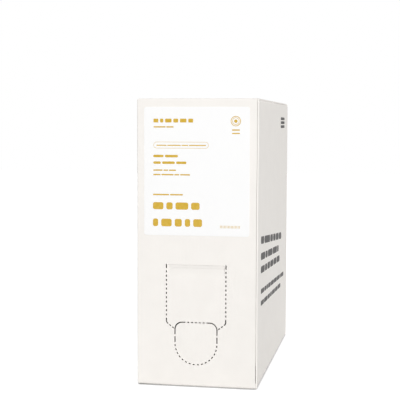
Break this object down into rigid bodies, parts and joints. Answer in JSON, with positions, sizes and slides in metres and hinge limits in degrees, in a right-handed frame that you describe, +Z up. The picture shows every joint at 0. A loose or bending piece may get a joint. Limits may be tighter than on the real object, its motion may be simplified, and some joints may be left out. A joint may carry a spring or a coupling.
{
  "type": "hand soap refill carton",
  "caption": "Tall narrow sealed carton of white fine-flute board holding a soap refill, with a perforated dispensing opening under a plain paper label.",
  "frame": {"origin": "middle of the carton's footprint, on the surface that it stands on", "axes": "+Z up, -Y out of the narrow front panel with the label and the dispensing opening, +X out of the wide side panel at the glued joint"},
  "size_m": [0.08, 0.1851, 0.189],
  "materials": {
    "white_board": "matt white-lined fine-flute corrugated board",
    "label_paper": "smooth semi-gloss white label paper",
    "gold_ink": "golden yellow printing ink on label paper",
    "dark_ink": "matt near-black printing ink on board"
  },
  "bodies": {
    "root": {"carton": "white_board", "label": "label_paper"}
  },
  "joints": []
}
